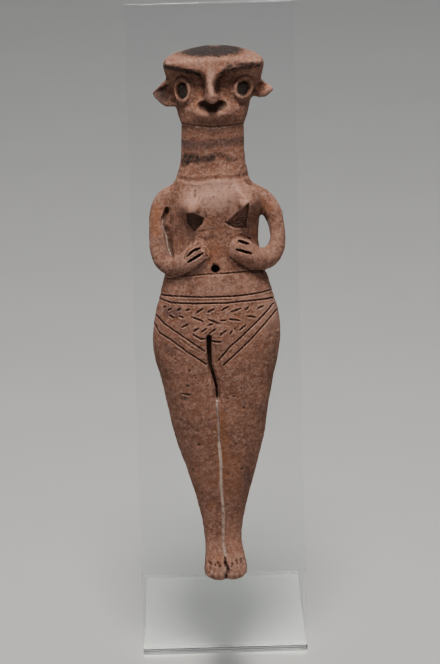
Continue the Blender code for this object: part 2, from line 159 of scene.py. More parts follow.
stand.data.materials.append(clear)

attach(stand, "root")
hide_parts("clear_stand")


# The figurine is one hollow figure of gritty reddish clay, rolled and pinched up by hand, with
# pellets and rolls of clay pressed on for the features, and fired once. It starts from the solid
# that the frame gives, stood upright with its toes at nought and its back at nought.
CONTACT_GAP = 0.3 * MM
TOES_ABOVE_FOOT = 35.4 * MM
FIRST_SKIN = 0.5 * MM
FIRST_SKIN_PASSES = 9
SAME_POINT = 0.01 * MM

leaning = (
    Matrix.Translation((0, front_line_y, 0))
    @ Matrix.Rotation(-PLATE_LEAN, 4, "X")
    @ Matrix.Translation((0, -CONTACT_GAP, TOES_ABOVE_FOOT))
)
clay = bpy.data.objects.new("clay_figurine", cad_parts["female_figurine"].data.copy())
bpy.context.scene.collection.objects.link(clay)
pick(clay)
bpy.ops.object.mode_set(mode="EDIT")
bpy.ops.mesh.select_all(action="SELECT")
bpy.ops.mesh.remove_doubles(threshold=SAME_POINT)
bpy.ops.object.mode_set(mode="OBJECT")
bpy.ops.mesh.customdata_custom_splitnormals_clear()
clay.data.transform(leaning.inverted())
finished(clay, "REMESH", mode="VOXEL", voxel_size=FIRST_SKIN)
finished(clay, "SMOOTH", factor=0.5, iterations=FIRST_SKIN_PASSES)


def skin_of(item):
    """The item's vertices and normals, as rows of x, forward and up, in millimetres."""
    at = np.empty(len(item.data.vertices) * 3, np.float32)
    facing = np.empty_like(at)
    item.data.vertices.foreach_get("co", at)
    item.data.vertices.foreach_get("normal", facing)
    front = np.array((1, -1, 1))
    return at.reshape(-1, 3) * front / MM, facing.reshape(-1, 3) * front


def reshape(item, at):
    """Puts the vertices where these rows of x, forward and up say."""
    item.data.vertices.foreach_set("co", (at * np.array((1, -1, 1)) * MM).ravel())
    item.data.update()


def ramp(value, low, high):
    """Rises smoothly from 0 at low to 1 at high."""
    t = np.clip((value - low) / (high - low), 0, 1)
    return t * t * (3 - 2 * t)


# Each eye is a thin roll of clay closed into a ring round a flat pellet, which sits low in it
# and leaves a dark gap above. The cheek is dented first, and the two rings lean apart.
EYE_WIRE = 0.72
EYES = (
    {"at": (-9.9, 17.0, 174.4), "yaw": -30.0, "tall": 3.75, "slim": 0.74, "turn": 10.0},
    {"at": (10.9, 16.9, 174.7), "yaw": 29.0, "tall": 3.65, "slim": 0.82, "turn": -44.0},
)
CHEEK_TILT = 8.0
SOCKET_DEPTH = 0.9
SOCKET_FLAT, SOCKET_RIM = 0.4, 0.7
SOCKET_EDGE, SOCKET_END = 1.0, 1.28
EYE_REACH = 5.0
RING_LIFT = 0.5
RING_FULLER_ABOVE = 0.34
RING_WAVES = 5
RING_WAVE_HEIGHT = 0.08
PELLET_SHARE = 0.69
PELLET_DROP = 0.5
PELLET_HEIGHT = 1.15
PELLET_FLATNESS = 1.5


def eye_frame(eye):
    """The eye's own frame in millimetres: x and y in the ring's plane, z out of the cheek."""
    x, forward, up = eye["at"]
    return (
        Matrix.Translation((x, -forward, up))
        @ Matrix.Rotation(math.radians(eye["yaw"]), 4, "Z")
        @ Matrix.Rotation(math.radians(90 - CHEEK_TILT), 4, "X")
        @ Matrix.Rotation(math.radians(eye["turn"]), 4, "Z")
    )


def into_eye(eye, at):
    """Rows of x, forward and up turned into rows in the eye's own frame."""
    back = np.array(eye_frame(eye).inverted())
    return (at * np.array((1, -1, 1))) @ back[:3, :3].T + back[:3, 3]


def out_of_eye(eye, rows):
    """Rows in the eye's own frame turned back into rows of x, forward and up."""
    there = np.array(eye_frame(eye))
    return (rows @ there[:3, :3].T + there[:3, 3]) * np.array((1, -1, 1))


at, facing = skin_of(clay)
for eye in EYES:
    rows = into_eye(eye, at)
    outer = eye["tall"] + EYE_WIRE
    reach = np.hypot(rows[:, 0] / eye["slim"], rows[:, 1]) / outer
    near = (np.abs(rows[:, 2]) < EYE_REACH) & (reach < SOCKET_END)
    floor_level = -SOCKET_DEPTH * (1 - ramp(reach, SOCKET_FLAT, SOCKET_RIM))
    share = 1 - ramp(reach, SOCKET_EDGE, SOCKET_END)
    rows[:, 2] += (floor_level - rows[:, 2]) * share
    at[near] = out_of_eye(eye, rows)[near]
reshape(clay, at)

features = []
for eye in EYES:
    bpy.ops.mesh.primitive_torus_add(
        major_segments=72, minor_segments=16, major_radius=eye["tall"], minor_radius=EYE_WIRE
    )
    ring = bpy.context.object
    for vertex in ring.data.vertices:
        angle = math.atan2(vertex.co.x, vertex.co.y)
        middle = Vector((math.sin(angle), math.cos(angle), 0)) * eye["tall"]
        fuller = 1.0 + RING_FULLER_ABOVE * max(0.0, math.cos(angle))
        fuller += RING_WAVE_HEIGHT * math.sin(RING_WAVES * angle)
        vertex.co = middle + (vertex.co - middle) * fuller
        vertex.co.z += RING_LIFT
    ring.data.transform(eye_frame(eye) @ Matrix.Diagonal((eye["slim"], 1, 1, 1)))
    bpy.ops.mesh.primitive_uv_sphere_add(segments=40, ring_count=24, radius=1.0)
    pellet = bpy.context.object
    for vertex in pellet.data.vertices:
        flat_top = PELLET_HEIGHT * math.tanh(PELLET_FLATNESS * vertex.co.z)
        vertex.co *= eye["tall"] * PELLET_SHARE
        vertex.co.x *= eye["slim"]
        vertex.co.y -= PELLET_DROP
        vertex.co.z = flat_top
    pellet.data.transform(eye_frame(eye))
    features += [ring, pellet]


# The forehead is a slab of clay that juts out over the eyes and is pinched down into a narrow
# nose with sharp sides. It is drawn up ring by ring, from the nose's tip to the crown. Each ring
# gives its height, its middle, its half width, how far forward it comes and its squareness.
BROW_RINGS = (
    (171.5, 0.2, 1.7, 24.8, 2.0),
    (171.9, 0.2, 2.4, 26.0, 2.2),
    (172.5, 0.0, 2.2, 26.5, 2.0),
    (173.2, -0.2, 1.7, 26.2, 2.0),
    (175.0, -0.4, 1.55, 25.4, 2.0),
    (176.6, -0.5, 1.7, 24.7, 2.2),
    (178.2, -0.3, 2.2, 24.1, 2.4),
    (179.6, 0.1, 3.3, 23.7, 2.6),
    (180.6, 0.5, 5.4, 23.5, 2.8),
    (181.4, 0.9, 9.2, 23.3, 3.0),
    (182.1, 0.9, 13.6, 23.2, 2.8),
    (183.1, 0.9, 16.0, 22.9, 2.7),
    (184.4, 0.9, 15.4, 22.6, 2.7),
    (186.0, 0.9, 13.0, 21.4, 2.6),
)
BROW_BACK = 11.8
BROW_SIDES = 120

bpy.ops.mesh.primitive_circle_add(vertices=BROW_SIDES, radius=1.0, fill_type="NGON")
slab = bpy.context.object
bpy.ops.object.mode_set(mode="EDIT")
bpy.ops.mesh.select_all(action="SELECT")
for _ in BROW_RINGS[1:]:
    bpy.ops.mesh.extrude_region_move(TRANSFORM_OT_translate={"value": (0, 0, 1)})
bpy.ops.mesh.select_all(action="SELECT")
bpy.ops.mesh.normals_make_consistent(inside=False)
bpy.ops.mesh.flip_normals()
bpy.ops.object.mode_set(mode="OBJECT")
for vertex in slab.data.vertices:
    up, middle_x, half, front, squareness = BROW_RINGS[round(vertex.co.z)]
    across = math.copysign(abs(vertex.co.x) ** (2 / squareness), vertex.co.x)
    along_it = math.copysign(abs(vertex.co.y) ** (2 / squareness), vertex.co.y)
    middle, reach = (front + BROW_BACK) / 2, (front - BROW_BACK) / 2
    vertex.co = (middle_x + half * across, -middle - reach * along_it, up)
features.append(slab)


# The ears are small rolls of clay pressed on and pinched out flat. Their points are x, forward, up
# and the roll's radius. All that is pressed on becomes one skin with the body, worked over with
# damp hands, which leave lumps of several sizes, each with its own height.
EARS = (
    ((-14.4, 12.6, 177.6, 0.8), (-17.6, 10.6, 176.4, 0.9), (-20.2, 9.4, 173.6, 1.0),
     (-18.5, 10.3, 170.3, 0.9), (-15.0, 12.2, 169.2, 0.9), (-12.2, 13.4, 169.4, 0.9)),
    ((16.4, 11.6, 177.6, 0.8), (18.4, 10.2, 176.0, 0.9), (20.6, 9.4, 174.6, 1.0),
     (18.4, 10.2, 173.2, 0.9), (15.6, 12.0, 172.4, 0.8), (13.0, 13.2, 172.2, 0.8)),
)
SECOND_SKIN = 0.26
SKIN_PASSES = 2
UNEVENNESS = ((16.0, 0.5), (6.0, 0.3), (2.0, 0.22), (0.9, 0.15))

for ear in EARS:
    roll = bpy.data.curves.new("ear_roll", "CURVE")
    roll.dimensions = "3D"
    roll.bevel_depth = 1.0
    roll.bevel_resolution = 4
    roll.use_fill_caps = True
    line = roll.splines.new("NURBS")
    line.points.add(len(ear) - 1)
    for point, (x, forward, up, radius) in zip(line.points, ear):
        point.co = (x, -forward, up, 1)
        point.radius = radius
    line.use_endpoint_u = True
    line.order_u = 3
    rim = bpy.data.objects.new("ear_rim", roll)
    bpy.context.scene.collection.objects.link(rim)
    pick(rim)
    bpy.ops.object.convert(target="MESH")
    features.append(bpy.context.object)

for feature in features:
    feature.data.transform(Matrix.Scale(MM, 4))
pick(*features, clay)
bpy.ops.object.join()
finished(clay, "REMESH", mode="VOXEL", voxel_size=SECOND_SKIN * MM)
finished(clay, "SMOOTH", factor=0.5, iterations=SKIN_PASSES)
for size, height in UNEVENNESS:
    lumps = bpy.data.textures.new("hand_marks_%g" % size, "CLOUDS")
    lumps.noise_scale = size * MM
    lumps.noise_depth = 1
    finished(
        clay,
        "DISPLACE",
        texture=lumps,
        texture_coords="LOCAL",
        strength=height * MM,
        mid_level=0.5,
    )


# The detail is pressed into the damp clay with a blade, a point and the finger ends. A stroke
# leaves a groove with a low burr along both lips. Lines are x and up, as seen from the front.
CHEST_INSIDE = 12.0
FACET_SOFTNESS = 0.3
BURR_SHARE = 0.28
BURR_PLACE = 1.35
BURR_WIDTH = 0.5
HAND_SHAKE = 0.13
BLADE_POWER = 1.5
FINGER_POWER = 2.2
FORWARD_ENOUGH = 0.12

at, facing = skin_of(clay)
forward_facing = facing[:, 1] > FORWARD_ENOUGH


def reach_of(at, line, half_width, taper=0.0):
    """How far each row is from the line, in half widths, which may change from end to end.

    A taper narrows both ends, and the line wavers a little, as one drawn by hand does.
    """
    first, last = half_width if isinstance(half_width, tuple) else (half_width, half_width)
    lengths = [math.dist(a, b) for a, b in zip(line, line[1:])]
    best = np.full(len(at), 99.0)
    run = 0.0
    for (ax, az), (bx, bz), length in zip(line, line[1:], lengths):
        x, z = at[:, 0] - ax, at[:, 2] - az
        share = np.clip((x * (bx - ax) + z * (bz - az)) / length**2, 0, 1)
        far = np.hypot(x - share * (bx - ax), z - share * (bz - az))
        passed = (run + share * length) / sum(lengths)
        width = first + (last - first) * passed
        width = width * (1 - taper * (1 - np.minimum(1, 4 * np.minimum(passed, 1 - passed))))
        best = np.minimum(best, far / width)
        run += length
    shake = np.sin(3.1 * at[:, 0] + 1.7 * at[:, 2]) + np.sin(5.9 * at[:, 2] - 4.3 * at[:, 0])
    return best * (1 + HAND_SHAKE * shake / max(1.0, 6.0 * max(first, last) - 2.0))


def near_line(line, half_width, rows, front):
    """Which rows on the front are close enough to the line to feel it."""
    widest = max(half_width) if isinstance(half_width, tuple) else half_width
    xs, zs = zip(*line)
    spread = widest * 3
    close = front & (rows[:, 0] > min(xs) - spread) & (rows[:, 0] < max(xs) + spread)
    close &= (rows[:, 2] > min(zs) - spread) & (rows[:, 2] < max(zs) + spread)
    return np.nonzero(close)[0]


def stroke(line, half_width, depth, burr=BURR_SHARE, taper=0.0):
    """Presses one groove along the line, and pushes up its burr. A finger leaves none."""
    close = near_line(line, half_width, at, forward_facing)
    reach = reach_of(at[close], line, half_width, taper)
    cut = np.clip(1 - reach**2, 0, 1) ** (BLADE_POWER if burr else FINGER_POWER) * depth
    lip = np.exp(-(((reach - BURR_PLACE) / BURR_WIDTH) ** 2)) * depth * burr
    at[close] += facing[close] * (lip - cut)[:, None]


def inside_of(rows, outline, softness):
    """1 inside the outline, 0 outside it, with a soft edge."""
    closed = list(outline) + [outline[0]]
    x, z = rows[:, 0], rows[:, 2]
    inside = np.zeros(len(rows), bool)
    for (ax, az), (bx, bz) in zip(closed, closed[1:]):
        if az != bz:
            crosses = (az > z) != (bz > z)
            inside ^= crosses & (x < (bx - ax) * (z - az) / (bz - az) + ax)
    far = reach_of(rows, closed, 1.0)
    return 1 - ramp(np.where(inside, -far, far), -softness, softness)


def pared(corners):
    """Cuts one flat facet through corners of x, up and forward."""
    outline = [corner[:2] for corner in corners]
    grid = np.array([(x, z, 1.0) for x, z, _ in corners])
    slope = np.linalg.lstsq(grid, np.array([forward for _, _, forward in corners]), rcond=None)[0]
    close = near_line(outline, 1.0, at, forward_facing & (at[:, 1] > CHEST_INSIDE))
    plane = at[close, 0] * slope[0] + at[close, 2] * slope[1] + slope[2]
    share = inside_of(at[close], outline, FACET_SOFTNESS)
    at[close, 1] += (np.minimum(plane, at[close, 1]) - at[close, 1]) * share


def dent(x, up, half, depth, squash=1.0):
    """Presses one round dent into the front, or raises a bump with a minus depth."""
    close = forward_facing & (np.abs(at[:, 0] - x) < half) & (np.abs(at[:, 2] - up) < half * squash)
    reach = np.hypot((at[close, 0] - x) / half, (at[close, 2] - up) / half / squash)
    at[close] -= facing[close] * (np.clip(1 - reach**2, 0, 1) ** 2 * depth)[:, None]


# The face: a hollow under the nose for a mouth, the chin drawn in beneath it, a seam round the
# neck, a groove down each side of the nose, and a hollow and a pinch in each ear.
MOUTH = {"x": 0.1, "up": 168.9, "half": 5.7, "squash": 0.44, "depth": 1.9}
CHIN_LINE = ((-9.8, 166.0), (-6.2, 164.2), (-2.1, 163.1), (1.7, 163.0), (5.8, 163.9), (9.9, 165.7))
NECK_SEAM = ((-10.6, 162.9), (-4.7, 162.1), (-0.1, 161.5), (4.3, 161.8), (10.8, 162.3))
MOUTH_BEND = 0.2
MOUTH_FRONT = 24.3
MOUTH_BACK = 12.0
EAR_HOLLOWS = ((-17.2, 172.8, 3.6, 1.4), (18.2, 174.9, 2.4, 0.8))
EAR_PINCHES = (
    {"side": -1, "from": 16.0, "up": 173.0, "end": 7.0, "amount": 0.5},
    {"side": 1, "from": 16.2, "up": 175.2, "end": 6.0, "amount": 0.4},
)
EAR_TIP = 21.0
PINCH_CORE = 3.0
NOSE_SIDES = (
    ((-3.2, 170.6), (-2.6, 174.0), (-2.9, 177.4), (-4.4, 179.6)),
    ((3.0, 170.6), (2.2, 174.6), (2.8, 178.0), (4.4, 179.8)),
)


def in_mouth(rows):
    """How deep in the mouth each row is, from 0 at its edge to 1 in the middle."""
    across = (rows[:, 0] - MOUTH["x"]) / MOUTH["half"]
    up = (rows[:, 2] - MOUTH["up"] - MOUTH_BEND * across**2) / (MOUTH["half"] * MOUTH["squash"])
    in_front = (rows[:, 1] > MOUTH_BACK) * (rows[:, 1] < MOUTH_FRONT)
    return np.clip(1 - across**2 - up**2, 0, 1) * in_front


at[:, 1] -= MOUTH["depth"] * ramp(in_mouth(at), -0.1, 0.9) * (facing[:, 1] > 0)
stroke(CHIN_LINE, 2.6, 0.45, burr=0.0)
stroke(NECK_SEAM, 0.42, 0.3)
for side in NOSE_SIDES:
    stroke(side, 1.2, 0.4, burr=0.0)
for x, up, half, depth in EAR_HOLLOWS:
    dent(x, up, half, depth)
for ear in EAR_PINCHES:
    outward = ramp(ear["side"] * at[:, 0], ear["from"], EAR_TIP) * ear["amount"]
    beside = 1 - ramp(np.abs(at[:, 2] - ear["up"]), PINCH_CORE, ear["end"])
    at[:, 2] += (ear["up"] - at[:, 2]) * outward * beside


# The breasts are two small cones whose undersides are pared flat, the viewer's right one with
# the marks of the blade. The arms are rolls of clay; slits part the fingers at their ends. The
# hips swell a little up to the seam at the waist. Edges and facets are x, up and forward.
BREAST_EDGES = (
    ((-10.4, 132.0, 23.8), (-7.4, 132.1, 25.4)),
    ((-7.4, 132.1, 25.4), (-3.9, 130.0, 22.4)),
    ((4.0, 128.2, 21.6), (11.9, 135.2, 26.5)),
)
BREAST_SLOPE = 0.55
BREAST_SIDE_SLOPE = 1.6
BREAST_SIDE_START, BREAST_SIDE_REACH = 0.3, 3.0
BREAST_TOP_START, BREAST_TOP_REACH = 5.0, 9.0
BREAST_SPAN = (14.0, 16.0)
CHEST_FRONT = 14.0
EDGE_SOFTNESS = 0.3
BLEND_WIDTH = 0.5
BLEND_DROP = 0.35
BREAST_FACETS = (
    (
        (-10.1, 131.8, 20.2), (-7.4, 131.9, 20.0), (-4.1, 129.9, 19.8),
        (-4.5, 127.8, 19.9), (-7.4, 125.2, 20.2), (-9.7, 128.0, 20.1),
    ),
    ((4.0, 128.1, 20.6), (11.9, 135.0, 24.0), (11.6, 129.4, 18.6)),
    ((4.1, 127.8, 20.3), (11.2, 129.3, 18.7), (11.2, 125.9, 19.2), (6.9, 125.9, 20.1)),
)
BLADE_MARKS_FROM = (4.6, 127.6)
BLADE_MARKS_TO = (
    (11.4, 134.2), (11.4, 132.9), (11.3, 131.6), (11.2, 130.3), (9.4, 127.4), (7.0, 126.2),
)
FACET_FOLD = (BLADE_MARKS_FROM, (11.1, 129.6))
BROKEN_END = ((3.4, 128.6), (4.5, 127.4), (5.4, 126.6))
BREAST_NICK = ((-6.6, 131.3), (-5.0, 132.6))
FOLDS = (((-6.0, 123.3), (-3.2, 122.0), (0.0, 123.5)), ((-8.5, 125.3), (-4.2, 125.2), (0.1, 126.2)))
FINGER_SLITS = (
    ((-10.2, 116.7), (-8.0, 118.7), (-5.4, 119.6)),
    ((-9.9, 114.7), (-7.3, 116.2), (-4.6, 117.7)),
    ((8.0, 121.8), (9.6, 121.1), (11.6, 120.5)),
    ((7.2, 118.7), (9.5, 118.1), (12.5, 117.1)),
)
HAND_EDGES = (
    ((-11.2, 116.2), (-9.6, 119.3), (-6.1, 120.7), (-3.5, 118.8), (-3.1, 116.4)),
    ((-3.4, 115.3), (-6.5, 112.6), (-10.5, 110.1), (-13.2, 108.9), (-17.0, 108.6)),
    ((4.3, 120.1), (5.5, 122.4), (9.0, 123.4), (12.4, 121.9)),
    ((5.0, 115.8), (7.2, 114.0), (10.2, 111.9), (12.8, 110.5), (16.5, 110.2)),
)
ARM_CREASE = (
    (-16.7, 132.7), (-17.7, 129.5), (-18.0, 127.2), (-16.8, 123.4), (-16.2, 119.1), (-15.2, 116.6),
)
ARMPIT = (-16.9, 132.0)
WAIST_SEAM = (
    (-18.4, 110.4), (-15.0, 109.4), (-9.6, 109.7), (-1.7, 110.1), (5.4, 110.3), (11.9, 110.7),
    (17.0, 110.9),
)
SHOULDER_SEAM = ((-11.9, 143.6), (-5.9, 142.7), (-0.1, 143.5), (6.0, 143.4), (11.6, 144.2))
NAVEL_LIP = ((-1.0, 113.8), (-0.4, 112.2))
HIP_SWELL = 0.28
HIP_LOW, HIP_FULL = 104.0, 109.0
WAIST_LOW, WAIST_TOP = 109.4, 110.1
HIP_END = 110.2
HIP_HALF = 20.0


def wedge(start, end):
    """Builds the clay out to an edge between two points, sloping back to the chest above it."""
    (ax, az, af), (bx, bz, bf) = start, end
    length = math.dist((ax, az), (bx, bz))
    ux, uz = (bx - ax) / length, (bz - az) / length
    close = forward_facing & (at[:, 1] > CHEST_FRONT)
    close &= (np.abs(at[:, 0] - ax) < BREAST_SPAN[0]) & (np.abs(at[:, 2] - az) < BREAST_SPAN[1])
    x, z, forward = at[close, 0] - ax, at[close, 2] - az, at[close, 1]
    run = x * ux + z * uz
    above = z * ux - x * uz
    passed = np.clip(run / length, 0, 1)
    beside = np.abs(run - passed * length)
    target = af + (bf - af) * passed
    target = target - BREAST_SLOPE * np.maximum(above, 0) - BREAST_SIDE_SLOPE * beside
    blended = (forward + target + np.sqrt((forward - target) ** 2 + BLEND_WIDTH)) / 2 - BLEND_DROP
    share = ramp(above, -EDGE_SOFTNESS, EDGE_SOFTNESS)
    share = share * (1 - ramp(beside, BREAST_SIDE_START, BREAST_SIDE_REACH))
    share = share * (1 - ramp(above, BREAST_TOP_START, BREAST_TOP_REACH))
    at[close, 1] += (np.maximum(blended, forward) - forward) * share


for start, end in BREAST_EDGES:
    wedge(start, end)
for facet in BREAST_FACETS:
    pared(facet)
for tip in BLADE_MARKS_TO:
    stroke((BLADE_MARKS_FROM, tip), 0.32, 0.24, taper=0.5)
stroke(FACET_FOLD, 0.4, 0.35, taper=0.5)
stroke(BROKEN_END, 0.45, 0.4, taper=0.6)
stroke(BREAST_NICK, 0.35, 0.3, taper=0.6)
for fold in FOLDS:
    stroke(fold, 0.9, 0.16, burr=0.0, taper=0.7)
for slit in FINGER_SLITS:
    stroke(slit, 0.56, 1.5, burr=0.16, taper=0.45)
for edge in HAND_EDGES:
    stroke(edge, 0.8, 0.5, burr=0.1, taper=0.5)
stroke(ARM_CREASE, 1.5, 0.65, burr=0.1, taper=0.4)
dent(*ARMPIT, 0.8, 1.0, squash=2.2)
stroke(WAIST_SEAM, 0.36, 0.34)
stroke(SHOULDER_SEAM, 1.0, 0.16, burr=0.5)
stroke(NAVEL_LIP, (0.35, 1.0), 1.2, burr=0.0)
close = forward_facing & (at[:, 2] > HIP_LOW) & (at[:, 2] < HIP_END)
close &= np.abs(at[:, 0]) < HIP_HALF
up = at[close, 2]
swell = HIP_SWELL * ramp(up, HIP_LOW, HIP_FULL) * (1 - ramp(up, WAIST_LOW, WAIST_TOP))
at[close] += facing[close] * swell[:, None]


# The apron is drawn with a fine point: two lines round the waist, a pair along each groin, and
# three rows of short strokes between them, slanting one way and then the other. Faint lines show
# where the point slipped, and two hooks sit over the slit between the legs.
BELT_LINES = (
    (
        (-19.6, 102.6), (-12.6, 102.5), (-6.0, 102.2), (1.5, 102.2), (7.8, 102.3), (14.2, 102.8),
        (19.2, 103.4),
    ),
    (
        (-20.0, 101.2), (-15.8, 100.2), (-7.9, 100.0), (-0.4, 100.0), (2.4, 99.9), (7.8, 100.3),
        (14.1, 100.5), (19.6, 100.6),
    ),
)
FAINT_LINES = (
    ((-14.5, 101.3), (-5.0, 101.2), (4.7, 101.1)),
    ((-13.6, 87.9), (-9.6, 84.8), (-6.5, 83.2)),
    ((9.3, 88.7), (3.6, 84.2)),
    ((-15.7, 84.7), (-13.7, 83.5), (-11.5, 82.4)),
)
GROIN_LINES = (
    ((-21.4, 95.4), (-19.1, 93.0), (-14.5, 90.0), (-10.2, 87.1), (-4.9, 83.4)),
    ((-22.2, 92.2), (-20.5, 89.4), (-16.7, 87.4), (-11.5, 83.5), (-4.4, 78.7)),
    ((19.9, 98.6), (16.8, 95.6), (9.3, 89.0), (4.2, 84.8), (-0.1, 79.8)),
    ((21.0, 96.2), (16.7, 92.1), (10.5, 86.0), (5.7, 81.8), (1.7, 78.2)),
)
TOP_ROW = (
    ((-19.1, 98.3), (-18.0, 99.0)), ((-17.3, 97.5), (-16.0, 98.5)), ((-14.4, 97.4), (-12.7, 98.4)),
    ((-11.1, 97.6), (-9.5, 98.2)), ((-7.7, 96.6), (-4.8, 98.4)), ((-3.8, 96.8), (-0.9, 98.1)),
    ((1.2, 97.3), (4.0, 98.8)), ((4.5, 96.8), (8.6, 98.0)), ((9.6, 97.2), (11.2, 98.4)),
    ((14.0, 97.5), (16.4, 98.3)),
)
MIDDLE_ROW = (
    ((-17.1, 96.0), (-15.0, 94.9)), ((-13.7, 95.7), (-11.8, 95.1)), ((-9.0, 95.4), (-5.0, 93.8)),
    ((-3.4, 94.6), (0.6, 92.8)), ((1.0, 94.0), (2.9, 93.9)), ((4.1, 94.4), (7.9, 93.7)),
    ((10.1, 95.2), (13.6, 94.6)),
)
LOW_ROW = (
    ((-12.8, 91.7), (-10.3, 92.9)), ((-8.8, 90.3), (-6.6, 91.5)), ((-6.0, 90.1), (-3.6, 91.5)),
    ((-3.4, 92.4), (-1.5, 93.0)), ((-3.2, 89.4), (-0.6, 91.3)), ((0.5, 88.7), (3.3, 90.8)),
    ((4.0, 88.9), (5.0, 90.3)), ((7.5, 90.2), (9.9, 92.1)),
)
SLIT_HOOKS = (((-8.8, 89.4), (-6.4, 87.8), (-4.5, 87.7)), ((-2.3, 86.9), (-0.1, 86.5), (1.1, 86.5)))
POINT_HALF_WIDTH = 0.38

for line in BELT_LINES:
    stroke(line, POINT_HALF_WIDTH, 0.5)
for line in FAINT_LINES:
    stroke(line, 0.4, 0.2, taper=0.6)
for line in GROIN_LINES:
    stroke(line, POINT_HALF_WIDTH, 0.52)
for mark in TOP_ROW + MIDDLE_ROW + LOW_ROW:
    stroke(mark, 0.5, 0.5, taper=0.65)
for hook in SLIT_HOOKS:
    stroke(hook, 0.5, 0.6, taper=0.5)


# The legs are one mass, parted by a deep slit at the top and a line cut down to the feet, which
# is packed with pale chalky filling. The toes are parted by rows of small pits.
LEG_SLIT = ((-3.2, 88.2), (-3.3, 84.4), (-3.0, 78.0), (-2.0, 74.5), (-1.0, 70.0), (-0.9, 66.0))
LEG_LINE = (
    (-1.0, 66.0), (-0.9, 61.0), (-0.7, 56.0), (-0.6, 49.5), (-0.2, 44.5), (-0.2, 38.0), (-0.3, 34.0),
    (0.2, 26.8), (0.3, 22.5), (0.2, 17.4), (0.1, 12.8), (0.7, 8.6),
)
FEET_SPLIT = ((0.4, 8.2), (0.5, 6.4), (1.3, 4.1), (0.9, 2.5), (0.5, 0.2))
TOE_PITS = (
    (-5.4, 6.6), (-4.7, 6.1), (-5.0, 5.2), (-3.1, 5.8), (-2.2, 6.4), (-1.5, 5.3), (2.7, 5.3),
    (3.0, 6.1), (4.5, 7.1), (4.8, 6.2), (6.1, 7.3), (6.4, 6.4), (6.9, 5.5),
)
PIT_HALF, PIT_STEP = 0.45, 0.12

stroke(LEG_SLIT, (0.95, 0.42), 1.9, burr=0.06)
stroke(LEG_LINE, (0.55, 0.34), 0.5, burr=0.2)
stroke(FEET_SPLIT, 0.55, 1.0, burr=0.0)
for n, (x, up) in enumerate(TOE_PITS):
    dent(x, up, PIT_HALF + PIT_STEP * (n % 3), 0.5, squash=1.45)


# Worn by use and burial: a gouge with a hollow under it, a lump on the hip, pits in their places
# and small ones strewn everywhere. The toes end in six soft bumps.
GOUGES = (((-13.4, 68.2), (-11.8, 67.8), (-10.0, 67.8)),)
PITS = (
    (-8.2, 73.8), (-8.6, 74.6), (-10.4, 76.4), (-11.2, 70.9), (8.9, 76.2), (7.6, 69.7), (8.4, 62.5),
    (-7.7, 49.4), (8.7, 48.5), (5.3, 49.6), (-10.2, 40.0), (7.3, 40.1), (2.8, 66.1), (5.0, 66.9),
    (6.1, 91.0), (-4.9, 6.0), (-1.8, 5.2), (7.2, 7.2), (-5.4, 3.0),
)
TOE_ENDS = (-5.2, -3.0, -1.1, 2.6, 4.5, 6.3)
TOE_ENDS_UP = 2.2
HIP_LUMP = (21.3, 89.0)
GOUGE_HOLLOW = (-12.5, 66.2)
SMALL_PITS = 640
SMALL_PIT_HALF = (0.35, 0.95)
SMALL_PIT_DEPTH = (0.06, 0.2)
PIT_OR_GRAIN = (1, 1, 1, -0.7)

for gouge in GOUGES:
    stroke(gouge, 0.5, 0.45, taper=0.7)
for n, (x, up) in enumerate(PITS):
    dent(x, up, PIT_HALF + PIT_STEP * (n % 4), 0.34)
for x in TOE_ENDS:
    dent(x, TOE_ENDS_UP, 1.15, -0.38, squash=1.3)
dent(*HIP_LUMP, 1.1, -0.35)
dent(*GOUGE_HOLLOW, 2.4, 0.35, squash=0.6)
chance = random.Random(5)
for _ in range(SMALL_PITS):
    centre = at[chance.randrange(len(at))]
    half = chance.uniform(*SMALL_PIT_HALF)
    depth = chance.uniform(*SMALL_PIT_DEPTH) * chance.choice(PIT_OR_GRAIN)
    close = np.nonzero(np.abs(at[:, 2] - centre[2]) < half)[0]
    far = np.linalg.norm(at[close] - centre, axis=1) / half
    at[close] -= facing[close] * (np.clip(1 - far**2, 0, 1) ** 2 * depth)[:, None]
reshape(clay, at)


# The surface holds its colours in layers: dirt and painted shade in every hollow, slit and pit,
# pale worn rims with painted highlights on the ridges and lit fronts, chalky filling with a painted
# highlight on the lit insides of the arms, dark paint on the crown, brows, eyes and neck, stains
# from the fire and the soil, and painted shade under the breasts and chin and on the left ear.
MOST_TRIANGLES = 190000
HOLLOW_PASSES = 10
HOLLOW_SCALE = 0.14
PAINTED_ENOUGH = 0.1
PAINT_REACHES = -0.25

finished(clay, "TRIANGULATE")
finished(clay, "DECIMATE", ratio=min(1.0, MOST_TRIANGLES / len(clay.data.polygons)))
at, facing = skin_of(clay)
forward_facing = facing[:, 1] > PAINTED_ENOUGH

# The hollow measure: how far each point lies below its smoothed self. The colours use it for painted
# shade in every hollow and a painted highlight on every ridge.
softer = bpy.data.objects.new("softer_clay", clay.data.copy())
bpy.context.scene.collection.objects.link(softer)
finished(softer, "SMOOTH", factor=0.5, iterations=HOLLOW_PASSES)
soft_at, _ = skin_of(softer)
bpy.data.objects.remove(softer)
hollow = ((soft_at - at) * facing).sum(axis=1) / HOLLOW_SCALE

NAVEL = (-0.3, 111.7)
LEFT_EAR = (-18.4, 172.2)
INNER_ARM_HIGHLIGHT = (18.6, 126.0)
UNDER_CHIN = ((-5.6, 161.4), (0.0, 160.9), (5.0, 161.2))

# The blurred marks low on the neck: a line, its half width and how dark it is.
NECK_MARKS = (
    (((-10.4, 148.2), (-9.0, 150.8), (-6.6, 150.6), (-5.2, 149.4)), 2.1, 0.86),
    (((-5.6, 149.8), (-3.0, 150.3), (-0.6, 150.5), (0.9, 152.0)), 1.5, 0.74),
    (((0.9, 152.0), (3.2, 151.4), (6.4, 149.6), (8.2, 149.8)), 1.2, 0.6),
)

dirt_and_shade, chalk_and_highlight, paint, ochre, soot_and_shade, pale_and_highlight = (np.zeros(len(at)) for _ in range(6))


